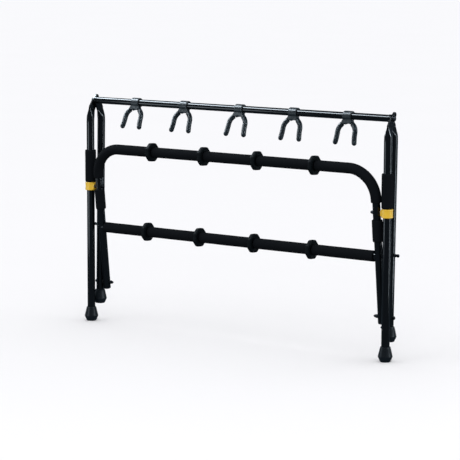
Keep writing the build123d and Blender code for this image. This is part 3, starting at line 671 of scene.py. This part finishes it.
def backdrop():
    """A pale flat floor, wide enough to run out of sight in every direction."""
    shade = Shade("pale_floor", Roughness=0.9, Specular_IOR_Level=0.0)
    shade.colour(shade.mix(shade.noise(1.3, detail=3), (0.900, 0.905, 0.925), (0.915, 0.92, 0.94)))
    vertices = [Vector((0, 0, 0))]
    for radius in FLOOR_RINGS:
        for k in range(FLOOR_SIDES):
            angle = 2 * math.pi * k / FLOOR_SIDES
            vertices.append(Vector((radius * math.cos(angle), radius * math.sin(angle), 0)))
    faces = [(0, 1 + k, 1 + (k + 1) % FLOOR_SIDES) for k in range(FLOOR_SIDES)]
    for i in range(len(FLOOR_RINGS) - 1):
        inner, outer = 1 + i * FLOOR_SIDES, 1 + (i + 1) * FLOOR_SIDES
        faces += [tuple(reversed(face)) for face in ring_faces(inner, outer, FLOOR_SIDES)]
    mesh = bpy.data.meshes.new("backdrop")
    mesh.from_pydata([tuple(v) for v in vertices], [], faces)
    mesh.materials.append(shade.material)
    floor = bpy.data.objects.new("backdrop", mesh)
    floor.visible_glossy = False
    floor.visible_diffuse = False
    bpy.context.scene.collection.objects.link(floor)


CAMERA_PLACE = Vector((3.3466, -4.6306, 1.1068))
CAMERA_YAW = math.radians(35.93)
CAMERA_PITCH = math.radians(7.98)
CAMERA_ROLL = math.radians(0.21)
CAMERA_LENS = 164.35       # mm, on a sensor 36 mm wide


def camera():
    """Long lens from the front right, a little above the rack."""
    level = math.cos(CAMERA_PITCH)
    ahead = Vector((-math.sin(CAMERA_YAW) * level, math.cos(CAMERA_YAW) * level, -math.sin(CAMERA_PITCH)))
    right = Vector((math.cos(CAMERA_YAW), math.sin(CAMERA_YAW), 0))
    up = right.cross(ahead)
    x_axis = right * math.cos(CAMERA_ROLL) + up * math.sin(CAMERA_ROLL)
    y_axis = up * math.cos(CAMERA_ROLL) - right * math.sin(CAMERA_ROLL)
    data = bpy.data.cameras.new("camera")
    data.sensor_width = 36.0
    data.lens = CAMERA_LENS
    data.clip_end = 60.0
    view = bpy.data.objects.new("camera", data)
    bpy.context.scene.collection.objects.link(view)
    turn = Matrix((x_axis, y_axis, -ahead)).transposed().to_4x4()
    view.matrix_world = Matrix.Translation(CAMERA_PLACE) @ turn
    bpy.context.scene.camera = view


GLOSS_TINT = (0.80, 0.91, 1.0)


def area_light(name, place, target, size, power, shows_in):
    """A rectangular lamp with a level side that shows only in matt light or only in gloss."""
    data = bpy.data.lights.new(name, "AREA")
    data.shape = "RECTANGLE"
    data.size, data.size_y = size
    data.energy = power
    data.color = GLOSS_TINT if shows_in == "gloss" else (1.0, 1.0, 1.0)
    away = (Vector(place) - Vector(target)).normalized()
    level = Vector((1, 0, 0)) if abs(away.z) > 0.9 else Vector((0, 0, 1)).cross(away).normalized()
    level = (level - away * level.dot(away)).normalized()
    lamp = bpy.data.objects.new(name, data)
    turn = Matrix((level, away.cross(level), away)).transposed().to_4x4()
    lamp.matrix_world = Matrix.Translation(place) @ turn
    lamp.visible_camera = False
    lamp.visible_glossy = shows_in != "matt"
    lamp.visible_diffuse = shows_in != "gloss"
    bpy.context.scene.collection.objects.link(lamp)


def strip(name, azimuth, distance, width, power, height=1.24, above=0.02):
    """An upright strip lamp that gives the legs a narrow highlight."""
    turn = math.radians(azimuth)
    place = (distance * math.sin(turn), -distance * math.cos(turn), above + height / 2)
    area_light(name, place, (0, 0, place[2]), (width, height), power, "gloss")


def studio():
    """A soft lamp for the matt light, and lamps that only make the highlights on the tubes."""
    area_light("front_key", (2.4, -3.4, 2.4), (0, 0, 0.4), (1.6, 1.2), 16, "matt")
    area_light("bar_strip", (-1.8, -0.95, 3.0), (-0.9, -0.4, 0.9), (2.6, 0.7), 110, "gloss")
    strip("right_back_strip", 142, 1.7, 0.1, 2.2)
    strip("right_strip", 102, 1.35, 0.08, 3.5)
    strip("front_strip", -42, 1.5, 0.55, 2.5, height=0.5)
    strip("left_strip", -80, 1.6, 0.08, 0.8)
    strip("left_bend_strip", -92, 1.6, 0.4, 34, above=0.85)
    strip("right_bend_strip", 100, 1.5, 0.3, 24, above=0.85)


SKY_ABOVE = (1.08, 1.075, 1.08)
SKY_BELOW = (0.34, 0.34, 0.34)
SKY_IN_GLOSS = (0.065, 0.095, 0.125)
SKY_BEHIND = (0.98, 0.98, 0.995)


def surround():
    """A pale dome lights the rack; gloss sees a dim blue room, and the picture a pale ground."""
    world = bpy.data.worlds.new("surround")
    world.use_nodes = True
    tree = world.node_tree
    path = tree.nodes.new("ShaderNodeLightPath").outputs
    height = tree.nodes.new("ShaderNodeSeparateXYZ")
    tree.links.new(tree.nodes.new("ShaderNodeTexCoord").outputs["Generated"], height.inputs["Vector"])
    above = tree.nodes.new("ShaderNodeMapRange")
    above.inputs["From Min"].default_value = -0.5
    above.inputs["From Max"].default_value = 0.5
    tree.links.new(height.outputs["Z"], above.inputs["Value"])

    def mixed(factor, first, second):
        node = tree.nodes.new("ShaderNodeMix")
        node.data_type = "RGBA"
        tree.links.new(factor, node.inputs["Factor"])
        for socket, value in zip([s for s in node.inputs if s.type == "RGBA"], (first, second)):
            if isinstance(value, tuple):
                socket.default_value = (*value, 1)
            else:
                tree.links.new(value, socket)
        return next(s for s in node.outputs if s.type == "RGBA")

    dome = mixed(above.outputs["Result"], SKY_BELOW, SKY_ABOVE)
    dome = mixed(path["Is Glossy Ray"], dome, SKY_IN_GLOSS)
    dome = mixed(path["Is Camera Ray"], dome, SKY_BEHIND)
    tree.links.new(dome, tree.nodes["Background"].inputs["Color"])
    bpy.context.scene.world = world


backdrop()
camera()
studio()
surround()
bpy.context.scene.view_settings.view_transform = "Standard"
